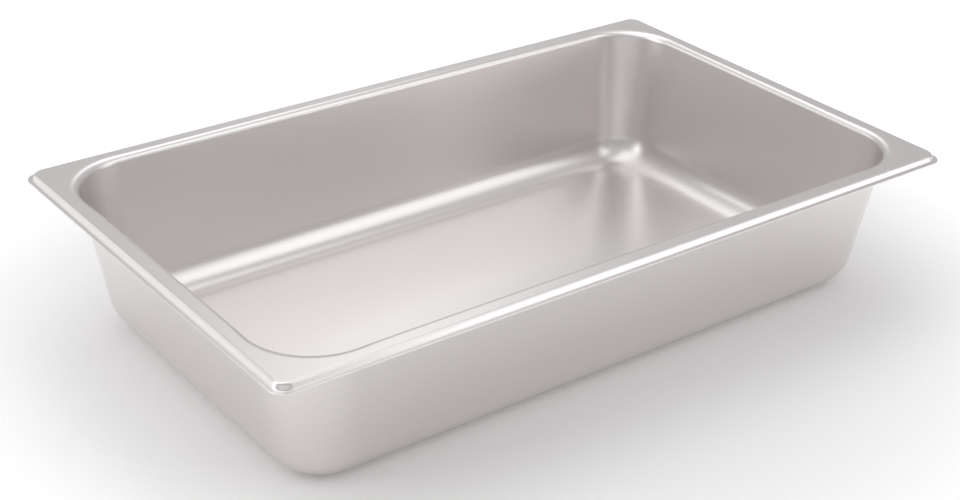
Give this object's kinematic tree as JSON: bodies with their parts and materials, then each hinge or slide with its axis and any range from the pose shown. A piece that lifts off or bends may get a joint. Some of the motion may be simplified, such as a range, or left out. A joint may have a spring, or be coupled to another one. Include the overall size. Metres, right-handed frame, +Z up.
{
  "type": "deli food pan",
  "caption": "Rectangular stainless steel food pan with inward-leaning walls, rounded corners and a stepped hanging rim.",
  "frame": {"origin": "under the centre of the floor, on the surface the pan stands on", "axes": "+X along the length, +Y across the width, +Z up out of the pan's mouth"},
  "size_m": [0.527, 0.325, 0.1016],
  "materials": {
    "stainless_steel": "satin"
  },
  "bodies": {
    "root": {"pan": "stainless_steel"}
  },
  "joints": []
}
